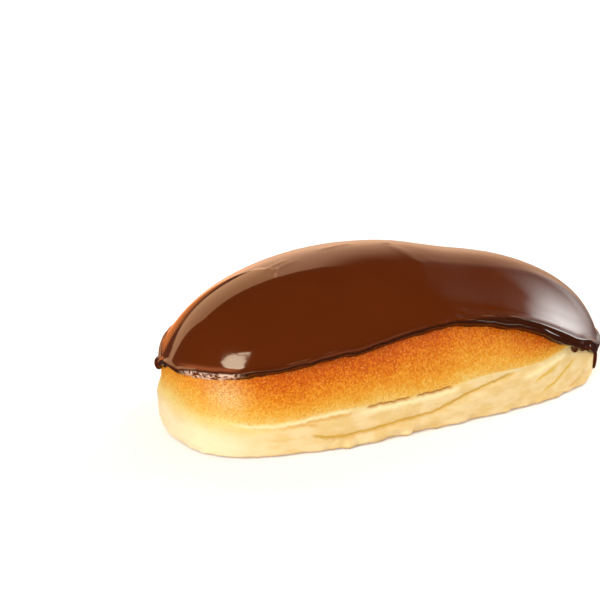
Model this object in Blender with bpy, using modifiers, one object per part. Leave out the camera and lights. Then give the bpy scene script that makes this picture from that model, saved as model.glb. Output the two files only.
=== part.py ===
"""Chocolate-glazed butter bun: a long soft bun with a flat base under a poured glaze.

The bun lies along X on the plane Z = 0, its broad end towards -X. Its skin is one smooth
form: an angle runs round the plan, counted from +X, and a fall runs down each side, from
0 at the crown over a quarter turn at the girth to a half turn at the middle of the base.
"""

import math

import bmesh
import bpy
from mathutils import Vector

MM = 0.001
COLLECTION_NAME = "chocolate_glazed_butter_bun"
# Fall at which the foot's rounded corner meets the flat base
FOOT_END = 0.85 * math.pi

# Overall size of the bun without its glaze
HALF_LENGTH = 73.6 * MM
WIDTH = 71.2 * MM
BUN_HEIGHT = 50.7 * MM
GIRTH_LEVEL = 11.0 * MM
FOOT_INSET = 3.2 * MM
CENTRE_X = -0.78 * MM
CENTRE_Y = -1.6 * MM

# Shape of the skin: 2 gives an ellipse, more gives a squarer line
END_FULLNESS = 2.45
SIDE_FULLNESS = 2.84
CROWN_FULLNESS = 1.88
CROWN_RUN = 1.85
CROWN_SHOULDER = 2.53
FOOT_FULLNESS = 3.5
TAPER = 0.08
PEAK_SHIFT = -0.224
SIDE_BOW = -3.5 * MM
CROWN_DIP = 1.6 * MM
CROWN_DIP_X = 26 * MM
CROWN_DIP_SPREAD = 14 * MM

# Glaze: the shell's thickness, its gap to the bun and its thicker rim
GLAZE_THICKNESS = 1.3 * MM
RIM_THICKNESS = 1.8 * MM
RIM_BAND = 6 * MM
RIM_ROUNDING = 0.62 * MM
GLAZE_GAP = 0.4 * MM

# Height of the glaze's lower edge: plan angle in degrees, level in millimetres
EDGE_LEVELS = (
    (0, 9.5), (24, 11), (42, 13), (60, 16.5), (78, 22), (98, 27), (118, 27.5), (140, 25.5),
    (160, 23.5), (180, 22.8), (194, 24.6), (212, 25.2), (232, 27), (252, 28.8), (268, 31.2),
    (282, 31.2), (294, 28.3), (303, 24), (313, 18), (325, 14), (338, 11.5),
)
EDGE_WAVE = 0.25 * MM
# Runs hanging below the edge: plan angle in degrees, length and half width in millimetres
RUNS = (
    (173, 2.4, 2.6), (318, 1.2, 2.4), (326, 1.6, 2.2), (337, 4.2, 2.6),
    (30, 2.4, 3.0), (84, 1.8, 4.0), (134, 2.2, 3.4),
)

# Creases where the dough spread, each on the front (-1) or the back (1) of the bun:
# side, depth, half width, then the x and level of points along it, all in millimetres
CREASES = (
    (-1, 0.8, 1.0, ((-72, 13.4), (-58, 10.9), (-46, 10.9), (-36, 12.2), (5, 13.5), (22, 15.2))),
    (-1, 1.2, 1.2, ((-41, 6.6), (-28, 4.1), (-12, 5.6), (5, 6.8), (13, 9.6), (20, 10.6), (28, 13.1),
                    (40, 13.9), (60, 16.4))),
    (1, 1.0, 1.1, ((-66, 12.5), (-40, 13.5), (-12, 12), (18, 13.5), (48, 11.5))),
    (1, 0.9, 1.0, ((-20, 6.5), (6, 7.6), (30, 9.5), (58, 8))),
)
CREASE_FADE = 9 * MM
FOOT_WAVE = 0.75 * MM

# Fineness of the meshes
SEGMENTS = 92
COVERED_ROWS = 7
SIDE_ROWS = 24
FOOT_ROWS = 3
BASE_ROWS = 2
BUN_ROWS = COVERED_ROWS + SIDE_ROWS + FOOT_ROWS + BASE_ROWS
GLAZE_ROWS = 15
RIM_CROWDING = 1.15
# The side rows run level between these two heights
SIDE_TOP = 32 * MM
SIDE_LOW = 2.6 * MM


def signed_power(value, power):
    return math.copysign(abs(value) ** power, value)


def smooth_path(points, x):
    """Level at x on a smooth curve through points, held at the first and last one."""
    x = max(points[0][0], min(points[-1][0], x))
    slopes = []
    for index in range(len(points)):
        before = points[max(index - 1, 0)]
        after = points[min(index + 1, len(points) - 1)]
        slopes.append((after[1] - before[1]) / (after[0] - before[0]))
    index = 0
    while x > points[index + 1][0]:
        index += 1
    (x0, level0), (x1, level1) = points[index], points[index + 1]
    width = x1 - x0
    t = (x - x0) / width
    start = (1 + 2 * t) * (1 - t) ** 2 * level0 + t * (1 - t) ** 2 * width * slopes[index]
    end = t * t * (3 - 2 * t) * level1 + t * t * (t - 1) * width * slopes[index + 1]
    return start + end


def half_width(x):
    t = max(-1.0, min(1.0, x / HALF_LENGTH))
    rounding = (1 - abs(t) ** END_FULLNESS) ** (1 / SIDE_FULLNESS)
    return WIDTH / 2 * rounding * (1 - TAPER * t)


def plan_point(angle):
    """Point of the girth line, before the bow of the bun is added."""
    t = signed_power(math.cos(angle), 2 / END_FULLNESS)
    y = signed_power(math.sin(angle), 2 / SIDE_FULLNESS) * WIDTH / 2 * (1 - TAPER * t)
    return HALF_LENGTH * t, y


def crown_rise(x):
    """Rise of the crown above the girth line at x."""
    t = max(-1.0, min(1.0, x / HALF_LENGTH))
    off_peak = min(abs(t - PEAK_SHIFT * (1 - t * t)), 1.0)
    rise = (BUN_HEIGHT - GIRTH_LEVEL) * (1 - off_peak ** CROWN_RUN) ** (1 / CROWN_SHOULDER)
    dip = CROWN_DIP * math.exp(-(((x - CROWN_DIP_X) / CROWN_DIP_SPREAD) ** 2))
    return rise * (1 - dip / (BUN_HEIGHT - GIRTH_LEVEL))


def top_level(x, y):
    across = min(abs(y) / max(half_width(x), 0.001 * MM), 1.0)
    return GIRTH_LEVEL + crown_rise(x) * (1 - across ** CROWN_FULLNESS) ** (1 / CROWN_FULLNESS)


def foot_inset(angle):
    """How far the foot draws in below the girth, uneven as the dough settled."""
    wave = math.sin(9 * angle + 0.6) + 0.8 * math.sin(17 * angle + 2.1) + 0.6 * math.sin(29 * angle)
    return FOOT_INSET + FOOT_WAVE * wave / 2


def skin_point(angle, fall):
    """Point of the bun's smooth skin."""
    plan_x, plan_y = plan_point(angle)
    if fall <= math.pi / 2:
        reach = math.sin(fall)
        x = plan_x * reach
        y = plan_y * reach
        z = top_level(x, y) if reach < 1 else GIRTH_LEVEL
    else:
        turn = min((fall - math.pi / 2) / (FOOT_END - math.pi / 2), 1.0) * math.pi / 2
        inset = foot_inset(angle) / math.hypot(plan_x, plan_y)
        reach = 1 - inset + inset * max(math.cos(turn), 0.0) ** (2 / FOOT_FULLNESS)
        z = GIRTH_LEVEL * (1 - math.sin(turn) ** (2 / FOOT_FULLNESS))
        base_share = max(fall - FOOT_END, 0.0) / (math.pi - FOOT_END)
        reach *= 1 - base_share
        x = plan_x * reach
        y = plan_y * reach
    y += SIDE_BOW * ((x / HALF_LENGTH) ** 2 - 0.5)
    return Vector((x + CENTRE_X, y + CENTRE_Y, z))


def skin_normal(angle, fall):
    step = 0.004
    along = skin_point(angle + step, fall) - skin_point(angle - step, fall)
    down = skin_point(angle, fall + step) - skin_point(angle, fall - step)
    return down.cross(along).normalized()


def edge_level(angle):
    """Level of the glaze's lower edge, with its runs and slight waves."""
    degrees = math.degrees(angle) % 360
    level = smooth_path(EDGE_LEVELS + ((360, EDGE_LEVELS[0][1]),), degrees) * MM
    level += EDGE_WAVE * (math.sin(7 * angle + 1.3) + math.sin(12 * angle + 0.4))
    plan = Vector(plan_point(angle))
    for run_degrees, length, half_breadth in RUNS:
        away = (plan - Vector(plan_point(math.radians(run_degrees)))).length
        level -= length * MM * math.exp(-((away / (half_breadth * MM)) ** 2))
    return level


def fall_at(angle, level):
    """Fall at which the skin comes down to a level."""
    low = 0.1
    high = FOOT_END
    for _ in range(40):
        middle = (low + high) / 2
        if skin_point(angle, middle).z > level:
            low = middle
        else:
            high = middle
    return low


def crease_depth(point):
    """How far the creases sink the bun's side at a point of its skin."""
    sunk = 0.0
    for side, depth, half_breadth, path in CREASES:
        if side * (point.y - CENTRE_Y) < 0:
            continue
        x = point.x - CENTRE_X
        inside = min(x - path[0][0] * MM, path[-1][0] * MM - x)
        fade = max(0.0, min(1.0, inside / CREASE_FADE))
        away = (point.z - smooth_path(path, x / MM) * MM) / (half_breadth * MM)
        sunk += depth * MM * fade * math.exp(-away * away)
    return sunk


def even_angles():
    """Plan angles that divide the girth line into equal lengths."""
    fine_steps = 3600
    angles = [2 * math.pi * step / fine_steps for step in range(fine_steps + 1)]
    lengths = [0.0]
    for start, end in zip(angles, angles[1:]):
        lengths.append(lengths[-1] + math.dist(plan_point(start), plan_point(end)))
    chosen = []
    step = 0
    for segment in range(SEGMENTS):
        while lengths[step] < lengths[-1] * segment / SEGMENTS:
            step += 1
        chosen.append(angles[step])
    return chosen


def sphere_place(vertex, rows):
    """Segment and row of a vertex on a unit sphere with the given number of rows."""
    segment = round(math.atan2(vertex.co.y, vertex.co.x) / (2 * math.pi) * SEGMENTS) % SEGMENTS
    row = round(math.acos(max(-1.0, min(1.0, vertex.co.z))) / math.pi * rows)
    return segment, row


def bun_fall(angle, row):
    """Fall of a row of the bun: loose at the crown, level on the side, flat below."""
    if row <= COVERED_ROWS:
        return fall_at(angle, SIDE_TOP) * row / COVERED_ROWS
    row -= COVERED_ROWS
    if row <= SIDE_ROWS:
        return fall_at(angle, SIDE_TOP + (SIDE_LOW - SIDE_TOP) * row / SIDE_ROWS)
    row -= SIDE_ROWS
    foot_start = fall_at(angle, SIDE_LOW)
    if row <= FOOT_ROWS:
        return foot_start + (FOOT_END - foot_start) * row / FOOT_ROWS
    row -= FOOT_ROWS
    return FOOT_END + (math.pi - FOOT_END) * row / BASE_ROWS


def make_material(name, colour, roughness):
    material = bpy.data.materials.new(name)
    material.use_nodes = True
    shader = material.node_tree.nodes["Principled BSDF"]
    shader.inputs["Base Color"].default_value = (*colour, 1.0)
    shader.inputs["Roughness"].default_value = roughness
    shader.inputs["Metallic"].default_value = 0.0
    return material


def add_object(name, bm, material, collection):
    mesh = bpy.data.meshes.new(name)
    bm.to_mesh(mesh)
    bm.free()
    mesh.materials.append(material)
    mesh.shade_smooth()
    piece = bpy.data.objects.new(name, mesh)
    collection.objects.link(piece)
    return piece


def make_bun(collection, angles):
    """Closed bun, from a sphere whose rows slide onto the skin and its creases."""
    bm = bmesh.new()
    bmesh.ops.create_uvsphere(bm, u_segments=SEGMENTS, v_segments=BUN_ROWS, radius=1.0)
    for vertex in bm.verts:
        segment, row = sphere_place(vertex, BUN_ROWS)
        angle = angles[segment]
        fall = bun_fall(angle, row)
        vertex.co = skin_point(angle, fall)
        if COVERED_ROWS <= row <= COVERED_ROWS + SIDE_ROWS:
            vertex.co -= skin_normal(angle, fall) * crease_depth(vertex.co)
    material = make_material("baked_dough", (0.78, 0.47, 0.16), 0.62)
    return add_object("bun", bm, material, collection)


def make_glaze(collection, angles, edges):
    """Thin shell over the crown: an open surface given thickness and a rounded rim."""
    bm = bmesh.new()
    bmesh.ops.create_uvsphere(bm, u_segments=SEGMENTS, v_segments=2 * GLAZE_ROWS, radius=1.0)
    below = [vertex for vertex in bm.verts if vertex.co.z < -0.001]
    bmesh.ops.delete(bm, geom=below, context="VERTS")
    bm.verts.index_update()
    weights = {}
    for vertex in bm.verts:
        segment, row = sphere_place(vertex, 2 * GLAZE_ROWS)
        angle = angles[segment]
        fall = edges[segment] * (1 - (1 - row / GLAZE_ROWS) ** RIM_CROWDING)
        rim = skin_point(angle, edges[segment])
        vertex.co = skin_point(angle, fall)
        weights[vertex.index] = max(0.0, 1 - (vertex.co - rim).length / RIM_BAND)
    bm.normal_update()
    for vertex in bm.verts:
        vertex.co += vertex.normal * GLAZE_GAP
    material = make_material("chocolate", (0.085, 0.026, 0.009), 0.2)
    glaze = add_object("chocolate_glaze", bm, material, collection)
    rim_group = glaze.vertex_groups.new(name="rim")
    for index, weight in weights.items():
        rim_group.add([index], weight, "REPLACE")
    shell = glaze.modifiers.new("Shell", "SOLIDIFY")
    shell.thickness = RIM_THICKNESS
    shell.offset = 1.0
    shell.vertex_group = rim_group.name
    shell.thickness_vertex_group = GLAZE_THICKNESS / RIM_THICKNESS
    rounding = glaze.modifiers.new("Rounded rim", "BEVEL")
    rounding.width = RIM_ROUNDING
    rounding.segments = 2
    rounding.limit_method = "ANGLE"
    rounding.angle_limit = math.radians(50)
    return glaze


def main():
    for old in list(bpy.data.objects):
        bpy.data.objects.remove(old, do_unlink=True)
    collection = bpy.data.collections.new(COLLECTION_NAME)
    bpy.context.scene.collection.children.link(collection)
    angles = even_angles()
    edges = [fall_at(angle, edge_level(angle)) for angle in angles]
    make_bun(collection, angles)
    make_glaze(collection, angles, edges)


main()
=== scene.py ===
"""Looks of the chocolate-glazed butter bun: its crust, its poured glaze, light and camera."""

import math
from collections import namedtuple

import bpy
import numpy as np
from mathutils import Matrix, Vector
from mathutils.bvhtree import BVHTree
from mathutils.kdtree import KDTree


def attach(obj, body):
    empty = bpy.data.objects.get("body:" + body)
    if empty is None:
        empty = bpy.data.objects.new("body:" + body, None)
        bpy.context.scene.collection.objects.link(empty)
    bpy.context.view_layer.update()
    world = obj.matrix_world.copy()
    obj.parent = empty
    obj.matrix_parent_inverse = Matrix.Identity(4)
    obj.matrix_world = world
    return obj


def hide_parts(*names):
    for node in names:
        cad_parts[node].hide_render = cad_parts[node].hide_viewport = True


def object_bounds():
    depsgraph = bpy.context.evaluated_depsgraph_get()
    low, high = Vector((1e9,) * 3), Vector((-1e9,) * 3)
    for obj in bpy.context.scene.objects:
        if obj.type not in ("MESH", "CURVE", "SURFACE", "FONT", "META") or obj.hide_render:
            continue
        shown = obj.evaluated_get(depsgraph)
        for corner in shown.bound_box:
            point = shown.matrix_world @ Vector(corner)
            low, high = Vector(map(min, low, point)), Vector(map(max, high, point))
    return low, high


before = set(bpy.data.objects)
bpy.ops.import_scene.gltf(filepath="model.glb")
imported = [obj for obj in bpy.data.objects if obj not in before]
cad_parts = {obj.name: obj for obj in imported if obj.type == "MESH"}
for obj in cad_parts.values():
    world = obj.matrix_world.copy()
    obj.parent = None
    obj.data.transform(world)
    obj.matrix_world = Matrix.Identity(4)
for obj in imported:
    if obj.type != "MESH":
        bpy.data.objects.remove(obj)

CAD_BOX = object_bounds()
MM = 0.001

# The bun's middle on the table, which the creases and the camera are placed from
BUN_MIDDLE = Vector((-0.78 * MM, -1.6 * MM, 0.0))

# Sides of the bun: the front is the one towards -Y
FRONT = -1
BACK = 1

# Lines on the bun's sides are points of x and level in millimetres, x counted from its middle:
# where the browned crust ends below, and the creases where the dough spread.
BROWN_FRONT = ((-72, 13.4), (-58, 10.9), (-46, 10.9), (-36, 12.2), (5, 13.5), (22, 15.2),
               (30, 15.0), (39, 14.6), (48, 15.0), (60, 17.2))
BROWN_BACK = ((-66, 12.5), (-40, 13.5), (-12, 12), (18, 13.5), (48, 11.5), (64, 13))
FOLD_FRONT = ((-41, 6.6), (-28, 4.1), (-12, 5.6), (5, 6.8), (13, 9.6), (20, 10.6), (28, 13.1),
              (40, 13.9), (60, 16.4))
FOLD_BACK = ((-20, 6.5), (6, 7.6), (30, 9.5), (58, 8))

# Camera: turn and height of the view in degrees, distance, aim and lens
VIEW_AZIMUTH = -24.3
VIEW_ELEVATION = 22.0
VIEW_DISTANCE = 0.8
VIEW_AIM = BUN_MIDDLE + Vector((0.0, 0.0, 25 * MM))
VIEW_RIGHT = -25.66 * MM
VIEW_UP = 7.35 * MM
LENS = 149.85
SENSOR = 36.0

# Lights stand behind the cards that only reflections see. The surround is dimmer in reflections.
SOFTBOX_DISTANCE = 1.5
CARD_DISTANCE = 1.4
SURROUND_GLOW = 0.12
SURROUND_COLOUR = (1.0, 0.97, 0.94)
MIRRORED_SURROUND = 0.4
FLOOR_SIZE = 6.0


# Shaping

# Weights up to this one are left out of a vertex group
LEAST_WEIGHT = 0.001
MERGE_DISTANCE = 0.001 * MM


def pick(piece):
    """Makes the piece the only one selected, and the active one."""
    bpy.ops.object.select_all(action="DESELECT")
    piece.select_set(True)
    bpy.context.view_layer.objects.active = piece


def copy_in_quads(node, name):
    """A merged copy of a CAD node, its triangles joined in pairs."""
    piece = bpy.data.objects.new(name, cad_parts[node].data.copy())
    piece.data.name = name
    piece.data.materials.clear()
    bpy.context.collection.objects.link(piece)
    pick(piece)
    bpy.ops.object.mode_set(mode="EDIT")
    bpy.ops.mesh.select_all(action="SELECT")
    bpy.ops.mesh.remove_doubles(threshold=MERGE_DISTANCE)
    bpy.ops.mesh.tris_convert_to_quads(
        face_threshold=math.radians(60), shape_threshold=math.radians(80), topology_influence=1.0)
    bpy.ops.object.mode_set(mode="OBJECT")
    return piece


def add_modifier(piece, kind, **settings):
    """Adds a modifier and applies it."""
    pick(piece)
    modifier = piece.modifiers.new(kind.lower(), kind)
    for key, value in settings.items():
        setattr(modifier, key, value)
    bpy.ops.object.modifier_apply(modifier=modifier.name)


def read_points(piece):
    points = np.empty(len(piece.data.vertices) * 3)
    piece.data.vertices.foreach_get("co", points)
    return points.reshape(-1, 3)


def ease(value, start, end):
    """0 before start and 1 after end, with a soft step between."""
    t = np.clip((value - start) / (end - start), 0.0, 1.0)
    return t * t * (3 - 2 * t)


def weigh(piece, name, weights):
    """A vertex group with a weight for each vertex."""
    group = piece.vertex_groups.new(name=name)
    for index, weight in enumerate(weights):
        if weight > LEAST_WEIGHT:
            group.add([index], float(weight), "REPLACE")


def displace(piece, group, strength, size=None, depth=1, middle=0.5, way="NORMAL"):
    """Raises a group of the piece's vertices, by a noise where its lumps' size is given."""
    texture = None
    if size:
        texture = bpy.data.textures.new(f"{piece.name}_{group}", "CLOUDS")
        texture.noise_scale = size
        texture.noise_depth = depth
    add_modifier(piece, "DISPLACE", texture=texture, texture_coords="LOCAL", vertex_group=group,
                 strength=strength, mid_level=middle if size else 0.0, direction=way)


def bell(value, middle, half_width):
    """1 at the middle and falling to 0 within about two half widths on both sides."""
    return np.exp(-((value - middle) / half_width) ** 2)


def smooth_path(points, x):
    """Levels at x on a smooth curve through points, held at the first and last one."""
    knots = np.array(points, float)
    x = np.clip(x, knots[0, 0], knots[-1, 0])
    padded = np.vstack((knots[:1], knots, knots[-1:]))
    slopes = (padded[2:, 1] - padded[:-2, 1]) / (padded[2:, 0] - padded[:-2, 0])
    index = np.clip(np.searchsorted(knots[:, 0], x) - 1, 0, len(knots) - 2)
    width = knots[index + 1, 0] - knots[index, 0]
    t = (x - knots[index, 0]) / width
    start = (1 + 2 * t) * (1 - t) ** 2 * knots[index, 1] + t * (1 - t) ** 2 * width * slopes[index]
    end = t * t * (3 - 2 * t) * knots[index + 1, 1] + t * t * (t - 1) * width * slopes[index + 1]
    return start + end


def surface_tree(piece):
    return BVHTree.FromObject(piece, bpy.context.evaluated_depsgraph_get())


def set_attribute(piece, name, values):
    layer = piece.data.attributes.new(name, "FLOAT", "POINT")
    layer.data.foreach_set("value", values)


# Bun

Line = namedtuple("Line", "side lift half_width fade tint path")


def stretch_of(path, start, end, shift=0.0):
    """The part of a smooth path between two values of x, moved up by a shift."""
    places = np.linspace(start, end, 8)
    return tuple(zip(places, smooth_path(path, places) + shift))


# Ridges and creases of the crust: side, lift, half width and fade at the ends in millimetres,
# the colour that they take, and their path
LINES = (
    Line(FRONT, 0.50, 0.65, 8, "pale", stretch_of(BROWN_FRONT, -66, -22, 0.1)),
    Line(FRONT, -0.30, 0.50, 8, "amber", stretch_of(BROWN_FRONT, -52, -22, -1.1)),
    Line(FRONT, -0.75, 0.38, 2, "crack", stretch_of(BROWN_FRONT, -21, -4.5)),
    Line(FRONT, -0.70, 0.34, 2, "crack", stretch_of(BROWN_FRONT, -3.6, 10.5)),
    Line(FRONT, 0.30, 0.80, 4, "pale", stretch_of(BROWN_FRONT, -24, 14, -1.2)),
    Line(FRONT, -0.80, 0.42, 6, "fold", stretch_of(FOLD_FRONT, -41, 36)),
    Line(FRONT, 0.55, 1.90, 10, "", stretch_of(FOLD_FRONT, -41, 40, -2.3)),
    Line(FRONT, -0.40, 0.40, 2, "amber", ((-41.2, 9.9), (-36.5, 9.4))),
    Line(FRONT, -0.50, 0.60, 3, "fold", ((44.0, 4.2), (50.5, 6.6), (56.5, 10.6), (60, 12.2))),
    Line(FRONT, -0.40, 0.60, 4, "fold", ((40.0, 8.6), (46.0, 10.2), (52.5, 13.0))),
    Line(FRONT, 0.50, 1.10, 4, "pale", ((35.0, 11.0), (46.0, 12.9), (57.0, 15.2))),
    Line(FRONT, -0.55, 0.45, 2, "amber", ((56.0, 2.2), (60, 3.6), (64.5, 7.6))),
    Line(BACK, -0.75, 0.50, 8, "crack", stretch_of(BROWN_BACK, -52, -8)),
    Line(BACK, 0.35, 0.80, 8, "pale", stretch_of(BROWN_BACK, -56, 50, -1.2)),
    Line(BACK, -0.80, 0.70, 8, "fold", FOLD_BACK),
    Line(BACK, 0.45, 1.80, 10, "", stretch_of(FOLD_BACK, -20, 52, -2.3)),
)
# How far the lines wander up and down
JAG = 0.10 * MM
# The fold's own relief, smoothed away before the finer lines are drawn
SMOOTHED_BAND = 2.6 * MM
# Between these heights the sides have finer faces
SIDE_BOTTOM = 1.2 * MM
SIDE_TOP = 25 * MM
# The faces beside a crack or fold are finer within this many half widths of its middle
CREASE_BREADTH = 2.2
# How strongly the crust browned from end to end, as points of x and strength
BROWNING = ((-74, 0.62), (-60, 0.80), (-44, 1.08), (-8, 1.06), (10, 0.80), (32, 0.66),
            (46, 0.84), (70, 0.95))
# Relief of the crust: height and size of its lumps
SIDE_ROLL, SIDE_ROLL_SIZE = 0.45 * MM, 14 * MM
SIDE_LUMP, SIDE_LUMP_SIZE = 0.18 * MM, 4 * MM
CRUST_GRAIN, CRUST_GRAIN_SIZE = 0.30 * MM, 1.3 * MM
# Scallops where the dough spread at the foot
SCALLOP, SCALLOP_SIZE = 4.0 * MM, 5 * MM
SCALLOP_MIDDLE = 0.46
SCALLOP_LEVEL = 1.5 * MM
# Ends of the bun's foot, from where to where along it, and how far each is moved along X
END_START, END_FULL = 54, 68
RIGHT_END_SHIFT = 1.6 * MM
LEFT_END_SHIFT = -1.2 * MM
# The painted sheen low on the left end, light specks of painted highlight on the crust: x, level
# and half widths in millimetres
PAINTED_SHEEN_X, PAINTED_SHEEN_LEVEL = -63.5, 20
PAINTED_SHEEN_LENGTH, PAINTED_SHEEN_HEIGHT = 4.5, 5


def along_bun(points):
    return (points[:, 0] - BUN_MIDDLE.x) / MM


def line_weights(points, line):
    """1 along the middle of a line and 0 away from it, for each point."""
    x = along_bun(points)
    on_side = line.side * (points[:, 1] - BUN_MIDDLE.y) > 0
    inside = np.minimum(x - line.path[0][0], line.path[-1][0] - x)
    jag = JAG * (np.sin(x * 1.87) + 0.7 * np.sin(x * 3.1 + 1.0) + np.sin(x * 0.83 + 2.0))
    away = (points[:, 2] - smooth_path(line.path, x) * MM - jag) / (line.half_width * MM)
    return on_side * ease(inside, 0.0, line.fade) * np.exp(-away * away)


def brown_level(points):
    """Level of the lower end of the browned crust beside each point."""
    x = along_bun(points)
    share = ease(points[:, 1] - BUN_MIDDLE.y, -20 * MM, 20 * MM)
    return (smooth_path(BROWN_FRONT, x) * (1 - share) + smooth_path(BROWN_BACK, x) * share) * MM


def edge_ends(piece):
    """Places of the two ends of every edge of the piece."""
    points = read_points(piece)
    ends = np.empty(len(piece.data.edges) * 2, dtype=np.int32)
    piece.data.edges.foreach_get("vertices", ends)
    return points[ends[0::2]], points[ends[1::2]]


def cut_edges(piece, chosen, cuts=1):
    """Divides the chosen edges of the piece, given as a truth value for each edge."""
    pick(piece)
    bpy.ops.object.mode_set(mode="EDIT")
    bpy.ops.mesh.select_mode(type="EDGE")
    bpy.ops.mesh.select_all(action="DESELECT")
    bpy.ops.object.mode_set(mode="OBJECT")
    piece.data.edges.foreach_set("select", chosen)
    bpy.ops.object.mode_set(mode="EDIT")
    bpy.ops.mesh.subdivide(number_cuts=cuts)
    bpy.ops.mesh.select_mode(type="VERT")
    bpy.ops.object.mode_set(mode="OBJECT")


def refine_sides(piece):
    """Halves the level edges of the sides, so that they take fine relief."""
    first, second = edge_ends(piece)
    level = np.abs(first[:, 2] - second[:, 2]) < 0.4 * np.linalg.norm(first - second, axis=1)
    middle = (first[:, 2] + second[:, 2]) / 2
    cut_edges(piece, level & (middle > SIDE_BOTTOM) & (middle < SIDE_TOP))


def refine_lines(piece):
    """Halves the upright edges beside the cracks and folds, so that they can be crisp."""
    first, second = edge_ends(piece)
    upright = np.abs(first[:, 2] - second[:, 2]) > 0.6 * np.linalg.norm(first - second, axis=1)
    near = np.zeros(len(first), bool)
    for line in LINES:
        if line.tint in ("crack", "fold"):
            broad = line._replace(half_width=CREASE_BREADTH * line.half_width)
            near |= line_weights((first + second) / 2, broad) > 0.3
    cut_edges(piece, upright & near)


def smooth_bands(bun):
    """Evens out the solid's own fold and split, where finer lines are drawn afterwards."""
    points = read_points(bun)
    bands = np.zeros(len(points))
    for side, path in ((FRONT, BROWN_FRONT), (FRONT, FOLD_FRONT),
                       (BACK, BROWN_BACK), (BACK, FOLD_BACK)):
        on_side = side * (points[:, 1] - BUN_MIDDLE.y) > 0
        away = np.abs(points[:, 2] - smooth_path(path, along_bun(points)) * MM)
        band = 1 - ease(away, 0.6 * SMOOTHED_BAND, 1.3 * SMOOTHED_BAND)
        bands = np.maximum(bands, on_side * band)
    weigh(bun, "bands", bands)
    add_modifier(bun, "SMOOTH", vertex_group="bands", factor=0.5, iterations=4)


def make_bun():
    bun = copy_in_quads("bun", "baked_bun")
    smooth_bands(bun)
    add_modifier(bun, "SUBSURF", levels=2, render_levels=2)
    refine_sides(bun)
    refine_lines(bun)
    points = read_points(bun)
    x, height = along_bun(points), points[:, 2]
    weigh(bun, "side", ease(height, 0.2 * MM, 3 * MM))
    foot = bell(height, SCALLOP_LEVEL, SCALLOP_LEVEL)
    foot = foot * (0.35 + 0.65 * ease(x, -42, -24))
    foot = foot * (1 - 0.5 * ease(points[:, 1], -5 * MM, 15 * MM))
    weigh(bun, "foot", foot * ease(height, 0.0, 0.6 * MM))
    low = 1 - ease(height, 9 * MM, 15 * MM)
    weigh(bun, "right_end", low * ease(x, END_START, END_FULL))
    weigh(bun, "left_end", low * ease(-x, END_START, END_FULL))
    for name, way in (("raised", 1), ("sunk", -1)):
        chosen = [line for line in LINES if way * line.lift > 0]
        weigh(bun, name, sum(way * line.lift * line_weights(points, line) for line in chosen))
    weigh(bun, "browned", ease(height - brown_level(points), 0.0, 3 * MM))
    displace(bun, "side", SIDE_ROLL, SIDE_ROLL_SIZE)
    displace(bun, "side", SIDE_LUMP, SIDE_LUMP_SIZE, depth=2)
    displace(bun, "browned", CRUST_GRAIN, CRUST_GRAIN_SIZE)
    displace(bun, "foot", SCALLOP, SCALLOP_SIZE, middle=SCALLOP_MIDDLE)
    displace(bun, "right_end", RIGHT_END_SHIFT, way="X")
    displace(bun, "left_end", LEFT_END_SHIFT, way="X")
    displace(bun, "raised", MM)
    displace(bun, "sunk", -MM)
    bun.vertex_groups.clear()
    bun.data.shade_smooth()
    return bun


def mark_crust(bun):
    """Browning, lines, the underside with a painted contact shadow, and the painted sheen and
    painted light of the left end, for the crust's material.
    """
    points = read_points(bun)
    tree = surface_tree(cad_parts["chocolate_glaze"])
    edge = np.array([tree.find_nearest(Vector(point))[0].z for point in points])
    low = brown_level(points)
    share = (points[:, 2] - low) / (np.maximum(edge, low + 6 * MM) - low)
    x = along_bun(points)
    crisp = ease(x, -30, 10) * ease(share, -0.02, 0.05)
    set_attribute(bun, "bake", share * 0.95 * smooth_path(BROWNING, x) + 0.14 * crisp)
    for tint in ("pale", "amber", "crack", "fold"):
        weights = [line_weights(points, line) for line in LINES if line.tint == tint]
        set_attribute(bun, tint, np.clip(sum(weights), 0.0, 1.0))
    # Brown underside, reaching a millimetre up the foot, partly as a painted contact shadow
    set_attribute(bun, "base", 1 - ease(points[:, 2], 0.1 * MM, 1.1 * MM))
    level = points[:, 2] / MM
    # Where the painted sheen lies: a painted highlight on the front of the left end
    painted_sheen = bell(x, PAINTED_SHEEN_X, PAINTED_SHEEN_LENGTH) * bell(level, PAINTED_SHEEN_LEVEL, PAINTED_SHEEN_HEIGHT)
    set_attribute(bun, "painted_sheen", painted_sheen * (points[:, 1] < BUN_MIDDLE.y))
    set_attribute(bun, "soft", 0.1 + 0.9 * (1 - ease(x, -62, -34)))
    # Painted light: paler low on the left end, where bright light falls
    set_attribute(bun, "painted_pale_light", 0.8 * (1 - ease(x, -66, -48)) * (1 - ease(level, 5, 15)))


# Glaze

# The lip: how far its shoulder lies from the edge, how broad it is, and how far it stands out.
# It deepens and broadens towards the right end, and lies lower at the left end.
LIP_SHOULDER = 1.4 * MM
LIP_DEEPENING = 1.5 * MM
LIP_LOWERING = 0.5 * MM
LIP_BREADTH = 0.8 * MM
LIP_BROADENING = 0.6 * MM
LIP_SWELL = 0.9 * MM
LIP_REACH = 6 * MM
# A vertex lies on the rim where it faces away from the bun by less than this share
RIM_FACING = 0.7
# Edges longer than this are divided near the lip
LONG_EDGE = 1.5 * MM
# How far the inner wall is sunk towards the bun
SINK = 1.2 * MM
# The thicker glaze that ran together above the lip at the deeply glazed end
POOL_REACH = 10 * MM
POOL_SWELL = 0.6 * MM
# The crown is smoothed this far from its middle, and further along the bun
CROWN_SMOOTH = 14 * MM
CROWN_STRETCH = 2.2
# The hem waves up and down, finely ragged, and is drawn up in places
HEM_REACH = 2.6 * MM
HEM_WAVE, HEM_WAVE_SIZE = 1.1 * MM, 6 * MM
HEM_RAG, HEM_RAG_SIZE = 0.45 * MM, 2.2 * MM
HEM_RISE = 1.5 * MM
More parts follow.
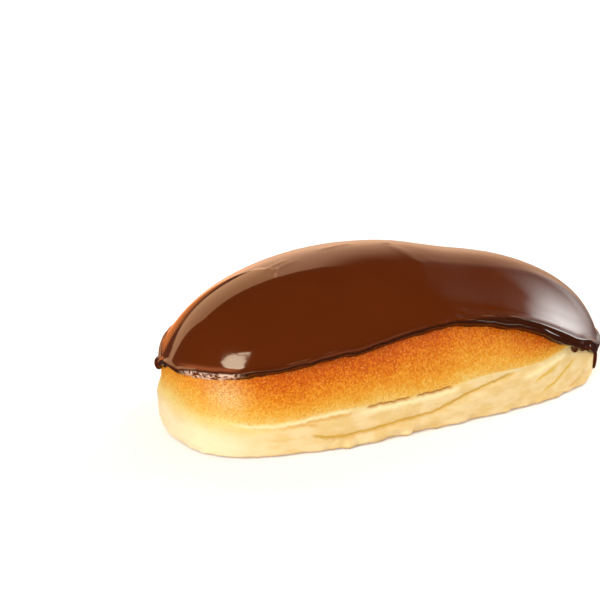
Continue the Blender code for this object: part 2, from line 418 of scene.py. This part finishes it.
# Slight unevenness of the poured surface
GLAZE_ROLL, GLAZE_ROLL_SIZE = 0.20 * MM, 26 * MM
GLAZE_RIPPLE, GLAZE_RIPPLE_SIZE = 0.04 * MM, 7 * MM
# Painted shade line and painted reflection band above the painted highlights of the left lip:
# distance from the edge and half width
DARK_LINE, DARK_LINE_BREADTH = 1.15 * MM, 0.3 * MM
REFLECTION_BAND, REFLECTION_BAND_BREADTH = 2.2 * MM, 0.7 * MM
# Share of painted shade on the drops, which hang in shade under the edge
DROP_PAINTED_SHADE = 0.55

# Ridges of the flow on the crown and bumps over crumbs: height and half width in millimetres,
# then points of x and y from the bun's middle
FLOW_RIDGES = (
    (0.15, 2.4, ((2.8, 2.9), (7.3, -7.3), (9.4, -11.0))),
    (0.16, 1.1, ((-39.5, 0.4), (-33.5, 1.6))),
    (0.16, 1.1, ((-37.0, -1.8), (-31.5, -0.6))),
    (0.18, 1.2, ((-18.5, 3.2), (-10.5, 4.6))),
    (0.06, 0.7, ((17.0, -24.8), (17.2, -24.8))),
    (0.05, 0.7, ((33.3, -21.7), (33.5, -21.7))),
)

# Drops of glaze: middle, half sizes and how far the lower pole is drawn down, in millimetres
DROPS = (
    ((57.8, -26.5, 15.5), (1.3, 1.2, 1.3), 0.3),
    ((60.8, -26.4, 15.3), (1.3, 1.2, 1.3), 0.2),
    ((63.2, -25.5, 14.7), (1.2, 1.1, 1.2), 0.3),
    ((68.9, -20.6, 9.6), (0.95, 0.9, 2.8), 2.8),
    ((-72.1, 8.8, 20.8), (1.6, 1.5, 1.5), 0.2),
    ((-73.2, 9.5, 19.9), (1.5, 1.5, 1.9), 0.6),
)


def gap_to(piece, other):
    """Distance of each of the piece's vertices from the other piece."""
    tree = surface_tree(other)
    return np.array([tree.find_nearest(Vector(point))[3] for point in read_points(piece)])


def rim_tree(piece, other):
    """The piece's lower edge, the rim between its two walls, to measure distances from."""
    surface = surface_tree(other)
    rim = []
    for vertex in piece.data.vertices:
        away = vertex.co - surface.find_nearest(vertex.co)[0]
        if abs(away.normalized().dot(vertex.normal)) < RIM_FACING:
            rim.append(vertex.co)
    tree = KDTree(len(rim))
    for index, point in enumerate(rim):
        tree.insert(point, index)
    tree.balance()
    return tree


def rim_distance(points, tree):
    return np.array([tree.find(point)[2] for point in points])


def refine_lip(piece):
    """Adds rows to the walls near the edge, so that they take the rolled lip."""
    tree = rim_tree(piece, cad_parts["bun"])
    first, second = edge_ends(piece)
    length = np.linalg.norm(first - second, axis=1)
    first_away, second_away = rim_distance(first, tree), rim_distance(second, tree)
    downward = np.abs(first_away - second_away) > 0.6 * length
    near = np.minimum(first_away, second_away) < LIP_REACH
    cut_edges(piece, downward & near & (length > LONG_EDGE), 2)


def distance_across(points, path):
    """Distance in plan of each point from a path of points in millimetres."""
    place = np.column_stack((along_bun(points), (points[:, 1] - BUN_MIDDLE.y) / MM))
    nearest = np.full(len(points), np.inf)
    for start, end in zip(path, path[1:]):
        start = np.array(start)
        run = np.array(end) - start
        share = np.clip((place - start) @ run / (run @ run), 0.0, 1.0)
        nearest = np.minimum(nearest, np.linalg.norm(place - start - share[:, None] * run, axis=1))
    return nearest


def mark_glaze(glaze, points, edge):
    """Painted highlights on rough bubbles and a painted reflection band along the front of the
    edge, and painted shade on the thick rim.
    """
    x = along_bun(points)
    stretch = ease(x, -73.5, -71) * (1 - ease(x, -62, -58)) * (points[:, 1] < BUN_MIDDLE.y)
    # Painted highlights: pale specks along the left lip's edge, where the glaze is also rougher and
    # bumped
    set_attribute(glaze, "froth_and_glints", stretch * (1 - ease(edge, 0.5 * MM, 1.0 * MM)))
    # Painted shade on the rim where it turns under, reaching further up at the deeply glazed end,
    # and a painted shade line on the left stretch
    depth = (1.0 + 3.2 * ease(x, 12, 42)) * MM
    rim = (1 - stretch) * (1 - ease(edge, 0.5 * depth, depth))
    line = bell(edge, DARK_LINE, DARK_LINE_BREADTH)
    set_attribute(glaze, "rim", np.clip(rim + stretch * line, 0.0, 1.0))
    # Painted reflection: a pinkish band along the left lip
    set_attribute(glaze, "painted_reflection", stretch * bell(edge, REFLECTION_BAND, REFLECTION_BAND_BREADTH))


def make_glaze():
    glaze = copy_in_quads("chocolate_glaze", "poured_glaze")
    refine_lip(glaze)
    add_modifier(glaze, "SUBSURF", levels=2, render_levels=2)
    points = read_points(glaze)
    gap = gap_to(glaze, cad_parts["bun"])
    outer = ease(gap, 0.6 * MM, 1.2 * MM)
    x = along_bun(points)
    crown = np.hypot(x / CROWN_STRETCH, (points[:, 1] - BUN_MIDDLE.y) / MM) * MM
    weigh(glaze, "crown", 1 - ease(crown, 0.4 * CROWN_SMOOTH, CROWN_SMOOTH))
    add_modifier(glaze, "LAPLACIANSMOOTH", vertex_group="crown", iterations=30,
                 lambda_factor=1.0, use_volume_preserve=False, use_normalized=True)
    weigh(glaze, "inner", 1 - ease(gap, 0.5 * MM, 0.9 * MM))
    deep_end = ease(x, 10, 55)
    edge = rim_distance(points, rim_tree(glaze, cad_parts["bun"]))
    away = edge - LIP_SHOULDER - LIP_DEEPENING * deep_end + LIP_LOWERING * (1 - ease(x, -50, -30))
    away = away / (LIP_BREADTH + LIP_BROADENING * deep_end)
    far_end = ease(x, 28, 48) * ease(points[:, 1] / MM, -4, 8)
    fullness = (0.6 + 0.4 * deep_end) * (1 - 0.85 * far_end)
    weigh(glaze, "lip", outer * fullness * np.exp(-away * away))
    hem = bell(edge, 0.0, HEM_REACH)
    weigh(glaze, "hem", hem)
    front = points[:, 1] < BUN_MIDDLE.y
    drawn_up = (0.55 * ease(x, -60, -50) * (1 - ease(x, -34, -22))
                + (0.5 * ease(x, 30, 42) + 0.9 * ease(x, 52, 62)) * (1 - ease(x, 63, 69)))
    weigh(glaze, "drawn_up", hem * front * drawn_up)
    pool = ease(x, 14, 42) * (1 - ease(x, 60, 72)) * front * np.clip(1 - edge / POOL_REACH, 0, 1)
    weigh(glaze, "pool", outer * pool)
    weigh(glaze, "outer", outer)
    ridges = sum(height * bell(distance_across(points, path), 0.0, half_width)
                 for height, half_width, path in FLOW_RIDGES)
    weigh(glaze, "ridges", outer * ridges)
    displace(glaze, "inner", SINK)
    displace(glaze, "pool", POOL_SWELL)
    displace(glaze, "lip", LIP_SWELL)
    displace(glaze, "hem", HEM_WAVE, HEM_WAVE_SIZE, way="Z")
    displace(glaze, "hem", HEM_RAG, HEM_RAG_SIZE, way="Z")
    displace(glaze, "drawn_up", HEM_RISE, way="Z")
    displace(glaze, "outer", GLAZE_ROLL, GLAZE_ROLL_SIZE)
    displace(glaze, "outer", GLAZE_RIPPLE, GLAZE_RIPPLE_SIZE)
    displace(glaze, "ridges", MM)
    glaze.vertex_groups.clear()
    mark_glaze(glaze, points, edge)
    glaze.data.shade_smooth()
    return glaze


def make_drops():
    """Beads under the edge at the deeply glazed end, a thin run beside them and a drop on its
    neck at the other end, each a ball with its lower pole drawn down."""
    balls = []
    for middle, radii, tail in DROPS:
        bpy.ops.object.select_all(action="DESELECT")
        bpy.ops.mesh.primitive_uv_sphere_add(
            segments=32, ring_count=20, radius=MM, scale=radii,
            location=[value * MM for value in middle])
        ball = bpy.context.object
        bpy.ops.object.transform_apply(location=True, rotation=True, scale=True)
        points = read_points(ball)
        bpy.ops.object.mode_set(mode="EDIT")
        bpy.ops.mesh.select_mode(type="VERT")
        bpy.ops.mesh.select_all(action="DESELECT")
        bpy.ops.object.mode_set(mode="OBJECT")
        ball.data.vertices[int(points[:, 2].argmin())].select = True
        bpy.ops.object.mode_set(mode="EDIT")
        bpy.ops.transform.translate(
            value=(0.0, 0.0, -tail * MM), use_proportional_edit=True,
            proportional_edit_falloff="SMOOTH", proportional_size=radii[2] * 1.8 * MM)
        bpy.ops.object.mode_set(mode="OBJECT")
        balls.append(ball)
    pick(balls[0])
    for ball in balls:
        ball.select_set(True)
    bpy.ops.object.join()
    drops = bpy.context.object
    drops.name = "glaze_drops"
    drops.data.name = "glaze_drops"
    # A ball lists its faces in no fixed order, so they are put into one
    points = read_points(drops)
    faces = sorted(tuple(face.vertices) for face in drops.data.polygons)
    drops.data.clear_geometry()
    drops.data.from_pydata(points, [], faces)
    drops.data.shade_smooth()
    # The drops take the rim's painted shade
    set_attribute(drops, "rim", np.full(len(drops.data.vertices), DROP_PAINTED_SHADE))
    return drops


# Materials

def new_material(name):
    material = bpy.data.materials.new(name)
    material.use_nodes = True
    tree = material.node_tree
    return material, tree, tree.nodes["Principled BSDF"]


def add_node(tree, kind, **settings):
    node = tree.nodes.new(kind)
    for key, value in settings.items():
        setattr(node, key, value)
    return node


def add_noise(tree, coordinates, size, detail=2.0, roughness=0.5):
    """Noise whose features are about the given size in metres."""
    noise = add_node(tree, "ShaderNodeTexNoise")
    noise.inputs["Scale"].default_value = 1 / size
    noise.inputs["Detail"].default_value = detail
    noise.inputs["Roughness"].default_value = roughness
    tree.links.new(coordinates, noise.inputs["Vector"])
    return noise.outputs["Fac"]


def add_math(tree, operation, *values):
    node = add_node(tree, "ShaderNodeMath", operation=operation)
    for socket, value in zip(node.inputs, values):
        if isinstance(value, (int, float)):
            socket.default_value = value
        else:
            tree.links.new(value, socket)
    return node.outputs["Value"]


def add_mix(tree, share, first, second):
    """Mix of two colours, or of two sockets, by a share that goes from the first to the second."""
    node = add_node(tree, "ShaderNodeMix", data_type="RGBA")
    for name, value in (("Factor", share), ("A", first), ("B", second)):
        socket = [item for item in node.inputs if item.name == name and item.enabled][0]
        if isinstance(value, tuple):
            socket.default_value = (*value, 1.0)
        else:
            tree.links.new(value, socket)
    return [item for item in node.outputs if item.enabled][0]


def blend_colours(tree, value, stops):
    node = add_node(tree, "ShaderNodeValToRGB")
    ramp = node.color_ramp
    while len(ramp.elements) < len(stops):
        ramp.elements.new(0.5)
    for element, (place, colour) in zip(ramp.elements, stops):
        element.position = place
        element.color = (*colour, 1.0)
    tree.links.new(value, node.inputs["Fac"])
    return node.outputs["Color"]


def add_bump(tree, height, distance, strength, normal=None):
    node = add_node(tree, "ShaderNodeBump")
    node.inputs["Distance"].default_value = distance
    node.inputs["Strength"].default_value = strength
    tree.links.new(height, node.inputs["Height"])
    if normal:
        tree.links.new(normal, node.inputs["Normal"])
    return node.outputs["Normal"]


def read_attribute(tree, name):
    return add_node(tree, "ShaderNodeAttribute", attribute_name=name).outputs["Fac"]


def add_step(tree, value, start, end, low=0.0, high=1.0):
    """Soft step of a value between two limits."""
    node = add_node(tree, "ShaderNodeMapRange", interpolation_type="SMOOTHSTEP")
    tree.links.new(value, node.inputs["Value"])
    for name, number in (("From Min", start), ("From Max", end), ("To Min", low), ("To Max", high)):
        if isinstance(number, (int, float)):
            node.inputs[name].default_value = number
        else:
            tree.links.new(number, node.inputs[name])
    return node.outputs["Result"]


def crust_material():
    material, tree, shader = new_material("baked_crust")
    place = add_node(tree, "ShaderNodeTexCoord").outputs["Object"]
    bake = read_attribute(tree, "bake")
    soft = read_attribute(tree, "soft")
    browned = add_step(tree, bake, add_math(tree, "MULTIPLY", soft, -0.30), 0.10)
    blotch = add_noise(tree, place, 11 * MM, 3.0, 0.6)
    speck = add_noise(tree, place, 0.8 * MM, 2.0, 0.6)
    grain = add_noise(tree, place, 0.45 * MM, 1.0, 0.5)
    painted_sheen = read_attribute(tree, "painted_sheen")

    # Pale dough at the foot, smooth and a little cloudy, with streaks along the bun
    stretched = add_node(tree, "ShaderNodeMapping")
    stretched.inputs["Scale"].default_value = (0.3, 0.3, 1.0)
    tree.links.new(place, stretched.inputs["Vector"])
    streak = add_noise(tree, stretched.outputs["Vector"], 2.2 * MM, 2.0, 0.55)
    cloud = add_noise(tree, place, 8 * MM, 3.0, 0.55)
    cloud = add_math(tree, "MULTIPLY", cloud, 0.55)
    cloud = add_math(tree, "MULTIPLY_ADD", streak, 0.45, cloud)
    cloud = add_step(tree, cloud, 0.40, 0.60)
    cream = add_mix(tree, cloud, (0.86, 0.645, 0.33), (0.80, 0.55, 0.22))
    # Painted light: the cream turns paler low on the left end
    cream = add_mix(tree, read_attribute(tree, "painted_pale_light"), cream, (0.91, 0.75, 0.47))

    # Browned crust, from golden at its lower end to orange brown under the glaze
    coarse = add_step(tree, speck, 0.34, 0.66)
    shade = add_math(tree, "MULTIPLY_ADD", coarse, -0.36, 0.18)
    shade = add_math(tree, "MULTIPLY", shade, add_step(tree, bake, 0.0, 0.7, 0.25, 1.0))
    shade = add_math(tree, "ADD", shade, add_math(tree, "MULTIPLY_ADD", blotch, 0.44, -0.22))
    shade = add_math(tree, "MULTIPLY", shade, browned)
    shade = add_math(tree, "ADD", shade, bake)
    gold = blend_colours(tree, shade, (
        (0.0, (0.87, 0.62, 0.19)),
        (0.11, (0.85, 0.50, 0.10)),
        (0.31, (0.81, 0.35, 0.026)),
        (0.52, (0.75, 0.240, 0.008)),
        (0.73, (0.67, 0.145, 0.002)),
        (0.95, (0.54, 0.080, 0.0008)),
    ))
    # Light flecks on the raised grain, partly real specks and partly painted glints of light
    flecks_and_glints = add_math(tree, "MULTIPLY", add_step(tree, grain, 0.58, 0.72), 0.45)
    gold = add_mix(tree, flecks_and_glints, gold, (0.93, 0.45, 0.11))
    pits = add_math(tree, "MULTIPLY", add_step(tree, grain, 0.42, 0.28), 0.45)
    gold = add_mix(tree, pits, gold, (0.45, 0.085, 0.001))
    # Painted highlight: light specks of the sheen patch, standing in for a glint of light on the
    # crust
    painted_glint = add_math(tree, "MULTIPLY", painted_sheen, add_step(tree, grain, 0.38, 0.62, 0.20, 0.80))
    gold = add_mix(tree, painted_glint, gold, (0.78, 0.58, 0.26))
    colour = add_mix(tree, browned, cream, gold)

    # Ridges, cracks and folds where the dough spread
    for name, share, tint in (
        ("pale", 0.9, (0.96, 0.78, 0.42)),
        ("amber", 0.7, (0.72, 0.36, 0.06)),
        ("fold", 0.95, (0.76, 0.47, 0.05)),
        ("crack", 1.0, (0.52, 0.20, 0.010)),
    ):
        strength = add_math(tree, "MULTIPLY", read_attribute(tree, name), share)
        colour = add_mix(tree, strength, colour, tint)

    # Underside, mottled and pored; its brown reaches the lowest millimetre of the foot, partly a
    # painted contact shadow
    mottle = add_step(tree, blotch, 0.26, 0.74)
    under = add_mix(tree, mottle, (0.54, 0.30, 0.11), (0.38, 0.18, 0.05))
    pores = add_step(tree, speck, 0.52, 0.68, 0.0, 0.6)
    under = add_mix(tree, pores, under, (0.29, 0.125, 0.035))
    colour = add_mix(tree, read_attribute(tree, "base"), colour, under)
    tree.links.new(colour, shader.inputs["Base Color"])

    rough = add_math(tree, "MULTIPLY_ADD", browned, -0.18, 0.62)
    rough = add_math(tree, "MULTIPLY_ADD", speck, 0.12, rough)
    tree.links.new(rough, shader.inputs["Roughness"])
    shader.inputs["Specular IOR Level"].default_value = 0.10
    shader.inputs["Subsurface Weight"].default_value = 0.10
    shader.inputs["Subsurface Radius"].default_value = (1.0, 0.5, 0.2)
    shader.inputs["Subsurface Scale"].default_value = 2.5 * MM

    # Wrinkles fade on the browned crust, and the specks and grain stand out there
    normal = None
    for noise, gain, start, distance, strength in (
        (streak, -0.8, 1.0, 0.6 * MM, 0.8),
        (speck, 0.6, 0.4, 0.45 * MM, 0.9),
        (grain, 0.75, 0.25, 0.30 * MM, 0.9),
    ):
        strong = add_math(tree, "MULTIPLY_ADD", browned, gain, start)
        raised = add_math(tree, "MULTIPLY", noise, strong)
        normal = add_bump(tree, raised, distance, strength, normal)
    tree.links.new(normal, shader.inputs["Normal"])
    return material


def chocolate_material():
    material, tree, shader = new_material("milk_chocolate_glaze")
    place = add_node(tree, "ShaderNodeTexCoord").outputs["Object"]
    cloud = add_noise(tree, place, 22 * MM, 2.0, 0.5)
    colour = add_mix(tree, cloud, (0.094, 0.0145, 0.0007), (0.118, 0.0195, 0.0009))
    smear = add_noise(tree, place, 14 * MM, 2.0, 0.5)
    rough = add_math(tree, "MULTIPLY_ADD", smear, 0.07, 0.03)

    # Painted shade where the edge is thick and turns under, and a painted reflection band and
    # painted highlights on rough bubbles along the left lip
    rim = add_math(tree, "MULTIPLY", read_attribute(tree, "rim"), 0.8)
    colour = add_mix(tree, rim, colour, (0.022, 0.0042, 0.0012))
    # Painted reflection: the pinkish band along the left lip
    painted_reflection = add_math(tree, "MULTIPLY", read_attribute(tree, "painted_reflection"), 0.55)
    colour = add_mix(tree, painted_reflection, colour, (0.42, 0.115, 0.040))
    # Painted highlights: pale specks along the left lip's edge, on rougher, bumped bubbles
    bubbles = add_step(tree, add_noise(tree, place, 1.2 * MM, 2.0, 0.6), 0.42, 0.54)
    froth_and_glints = add_math(tree, "MULTIPLY", read_attribute(tree, "froth_and_glints"), bubbles)
    colour = add_mix(tree, froth_and_glints, colour, (0.74, 0.49, 0.35))
    rough = add_math(tree, "MULTIPLY_ADD", froth_and_glints, 0.25, rough)
    tree.links.new(colour, shader.inputs["Base Color"])
    tree.links.new(rough, shader.inputs["Roughness"])
    shader.inputs["IOR"].default_value = 1.5
    shader.inputs["Coat Weight"].default_value = 0.3
    shader.inputs["Coat Roughness"].default_value = 0.03
    fine = add_noise(tree, place, 1.3 * MM, 2.0, 0.5)
    normal = add_bump(tree, fine, 0.01 * MM, 0.5)
    normal = add_bump(tree, froth_and_glints, 0.3 * MM, 0.7, normal)
    tree.links.new(normal, shader.inputs["Normal"])
    return material


# Studio

def make_floor():
    bpy.ops.object.select_all(action="DESELECT")
    bpy.ops.mesh.primitive_plane_add(size=FLOOR_SIZE, location=(0, 0, 0))
    floor = bpy.context.object
    floor.name = "pale_floor"
    material, _, shader = new_material("pale_floor")
    shader.inputs["Base Color"].default_value = (0.95, 0.95, 0.95, 1.0)
    shader.inputs["Roughness"].default_value = 0.6
    shader.inputs["Emission Color"].default_value = (1.0, 1.0, 1.0, 1.0)
    shader.inputs["Emission Strength"].default_value = 0.20
    floor.data.materials.append(material)
    floor.visible_glossy = False


def view_axes():
    """Right, up and back directions of the photo's view."""
    azimuth = math.radians(VIEW_AZIMUTH)
    elevation = math.radians(VIEW_ELEVATION)
    back = Vector((math.sin(azimuth) * math.cos(elevation),
                   -math.cos(azimuth) * math.cos(elevation), math.sin(elevation)))
    right = Vector((math.cos(azimuth), math.sin(azimuth), 0.0))
    return right, back.cross(right), back


def add_softbox(name, use, turn, wide, low, high, glow, colour=(1.0, 1.0, 1.0), shape=None):
    """Upright area light, used for LIGHT or for REFLECTION alone; its turn to the right from
    straight behind the bun, its width and the heights of its edges are angles in degrees seen
    from the bun. A shape draws how bright each part of it is, from its places across, left to
    right as seen from the bun, and up."""
    right, _, back = view_axes()
    ahead = Vector((-back.x, -back.y, 0.0)).normalized()
    turn = math.radians(turn)
    level = ahead * math.cos(turn) + right * math.sin(turn)
    distance = CARD_DISTANCE if use == "REFLECTION" else SOFTBOX_DISTANCE
    bottom = distance * math.tan(math.radians(low))
    top = distance * math.tan(math.radians(high))
    data = bpy.data.lights.new(name, "AREA")
    data.shape = "RECTANGLE"
    data.size = 2 * distance * math.tan(math.radians(wide) / 2)
    data.size_y = top - bottom
    data.energy = glow * math.pi * data.size * data.size_y
    data.color = colour
    if shape:
        data.use_nodes = True
        tree = data.node_tree
        place = add_node(tree, "ShaderNodeNewGeometry").outputs["Parametric"]
        split = add_node(tree, "ShaderNodeSeparateXYZ")
        tree.links.new(place, split.inputs["Vector"])
        across = add_math(tree, "SUBTRACT", 1.0, split.outputs["X"])
        bright = shape(tree, across, split.outputs["Y"])
        tree.links.new(bright, tree.nodes["Emission"].inputs["Strength"])
    lamp = bpy.data.objects.new(name, data)
    bpy.context.collection.objects.link(lamp)
    spot = VIEW_AIM + level * distance + Vector((0.0, 0.0, (top + bottom) / 2))
    turned = (-level).to_track_quat("-Z", "Y").to_matrix().to_4x4()
    lamp.matrix_world = Matrix.Translation(spot) @ turned
    lamp.visible_camera = False
    lamp.visible_glossy = use != "LIGHT"
    lamp.visible_diffuse = use != "REFLECTION"


def multiply(tree, *factors):
    """Product of values and sockets, taken in their order."""
    product = factors[0]
    for factor in factors[1:]:
        product = add_math(tree, "MULTIPLY", product, factor)
    return product


def side_glow(tree, across, up):
    """Brightest low near the right end, fading softly to the left and to the top."""
    haze = multiply(tree, across, add_step(tree, up, 0.42, 0.25, 0.07, 0.26))
    bright = add_math(tree, "MAXIMUM", add_math(tree, "POWER", across, 2.8), haze)
    near_top = add_step(tree, up, 1.0, 0.70, 0.0, 0.04)
    fading = add_math(tree, "MAXIMUM", add_step(tree, up, 0.77, 0.45), near_top)
    right_end = add_step(tree, across, 1.0, 0.72)
    return multiply(tree, bright, right_end, add_step(tree, up, -0.08, 0.38), fading)


def slanted(tree, across, up):
    """Upper and lower edges that rise to the right."""
    top = add_math(tree, "SUBTRACT", add_math(tree, "MULTIPLY_ADD", across, 0.44, 0.56), up)
    low = add_math(tree, "MULTIPLY_ADD", across, -0.2, up)
    return multiply(tree, add_step(tree, top, 0.0, 0.04), add_step(tree, low, -0.01, 0.04))


def dimmed_end(tree, across, up):
    """Crisp above at the left, dimmer and softer towards the right, and dimmer below."""
    soft = add_step(tree, up, 0.85, 0.3)
    crisp = add_step(tree, up, 1.0, 0.97)
    share = add_step(tree, across, 0.35, 0.9)
    rest = add_math(tree, "SUBTRACT", 1.0, share)
    edge = add_math(tree, "ADD", multiply(tree, share, soft), multiply(tree, rest, crisp))
    dimming = add_step(tree, across, 0.2, 0.9, 1.0, 0.5)
    right_end = add_step(tree, across, 1.0, 0.85)
    return multiply(tree, edge, dimming, right_end, add_step(tree, up, 0.05, 0.34, 0.25, 1.0))


def leaning_pane(tree, across, up):
    """A leaning pane, its upper edge sagging in the middle and its right side slanted."""
    from_middle = add_math(tree, "SUBTRACT", across, 0.5)
    sag = multiply(tree, from_middle, from_middle)
    top = add_math(tree, "SUBTRACT", add_math(tree, "MULTIPLY_ADD", sag, 0.5, 0.68), up)
    lean = add_math(tree, "MULTIPLY_ADD", up, 1.11, across)
    sides = multiply(tree, add_step(tree, lean, 1.47, 1.39), add_step(tree, across, 0.04, 0.12))
    return multiply(tree, add_step(tree, top, 0.0, 0.05), sides)


def soft_patch(tree, across, up):
    """Fades out towards its ends and its upper edge."""
    ends = multiply(tree, add_step(tree, across, 0.0, 0.2), add_step(tree, across, 1.0, 0.7))
    return multiply(tree, ends, add_step(tree, up, 1.0, 0.6))


def make_world():
    """Dim surround for light and reflections, white where it is seen straight."""
    world = bpy.data.worlds.new("studio")
    bpy.context.scene.world = world
    world.use_nodes = True
    tree = world.node_tree
    background = tree.nodes["Background"]
    rays = add_node(tree, "ShaderNodeLightPath").outputs
    seen = rays["Is Camera Ray"]
    dimming = SURROUND_GLOW * (1 - MIRRORED_SURROUND)
    mirrored = add_math(tree, "MULTIPLY", rays["Is Glossy Ray"], dimming)
    glow = add_math(tree, "MULTIPLY_ADD", seen, 1.0 - SURROUND_GLOW, SURROUND_GLOW)
    glow = add_math(tree, "SUBTRACT", glow, mirrored)
    tree.links.new(glow, background.inputs["Strength"])
    colour = add_mix(tree, seen, SURROUND_COLOUR, (1.0, 1.0, 1.0))
    tree.links.new(colour, background.inputs["Color"])


def make_camera():
    right, up, back = view_axes()
    data = bpy.data.cameras.new("photo_view")
    data.lens = LENS
    data.sensor_width = SENSOR
    data.clip_start = 0.01
    camera = bpy.data.objects.new("photo_view", data)
    bpy.context.collection.objects.link(camera)
    place = VIEW_AIM + right * VIEW_RIGHT + up * VIEW_UP + back * VIEW_DISTANCE
    axes = Matrix((right, up, back)).transposed().to_4x4()
    camera.matrix_world = Matrix.Translation(place) @ axes
    bpy.context.scene.camera = camera


def fit_inside(pieces):
    """Draws the pieces in by the last fraction of a millimetre to the model's own box."""
    clouds = [read_points(piece) for piece in pieces]
    for points in clouds:
        points[:, 2] = np.maximum(points[:, 2], 0.0)
    every = np.vstack(clouds)
    low, high = (np.array(corner) for corner in CAD_BOX)
    scale = np.minimum(1.0, high / every.max(axis=0))
    scale[:2] = np.minimum(scale[:2], low[:2] / every.min(axis=0)[:2])
    for piece, points in zip(pieces, clouds):
        piece.data.vertices.foreach_set("co", (points * scale).ravel())
        piece.data.update()


def finish_piece(piece, material, node=None):
    piece.data.materials.clear()
    piece.data.materials.append(material)
    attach(piece, "root")
    if node:
        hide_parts(node)


bpy.context.scene.view_settings.view_transform = "Standard"
make_camera()
make_floor()
make_world()
bun = make_bun()
glaze = make_glaze()
mark_crust(bun)
drops = make_drops()
fit_inside([bun, glaze, drops])
chocolate = chocolate_material()
finish_piece(bun, crust_material(), "bun")
finish_piece(glaze, chocolate, "chocolate_glaze")
finish_piece(drops, chocolate)
add_softbox("right_softbox", "LIGHT", 58, 46, 0.5, 38, 4.5)
add_softbox("right_card", "REFLECTION", 54, 68, -16, 52, 21, (0.98, 1.0, 0.98), side_glow)
add_softbox("front_left_softbox", "LIGHT", -146, 54, 8, 53, 4.2)
add_softbox("front_left_card", "REFLECTION", -152, 40, 43.3, 53.3, 9.6, (1.0, 0.82, 0.58),
            leaning_pane)
add_softbox("backdrop_right", "REFLECTION", 8, 46, -28, 58, 1.9, (1.0, 0.58, 0.34), dimmed_end)
add_softbox("backdrop_left", "REFLECTION", -37, 46, -4, 58, 1.9, (1.0, 0.56, 0.29), slanted)
add_softbox("warm_patch", "REFLECTION", -22, 34, -26, 10, 1.25, (1.0, 0.27, 0.05), soft_patch)
add_softbox("back_fill", "LIGHT", -2, 86, 1, 52, 1.2)
add_softbox("front_fill", "LIGHT", 150, 70, 1, 40, 0.65)
add_softbox("front_strip", "REFLECTION", 175, 110, 6, 18, 1.8, (0.9, 1.0, 0.85))
add_softbox("high_fill", "LIGHT", 90, 60, 55, 72, 2.6)
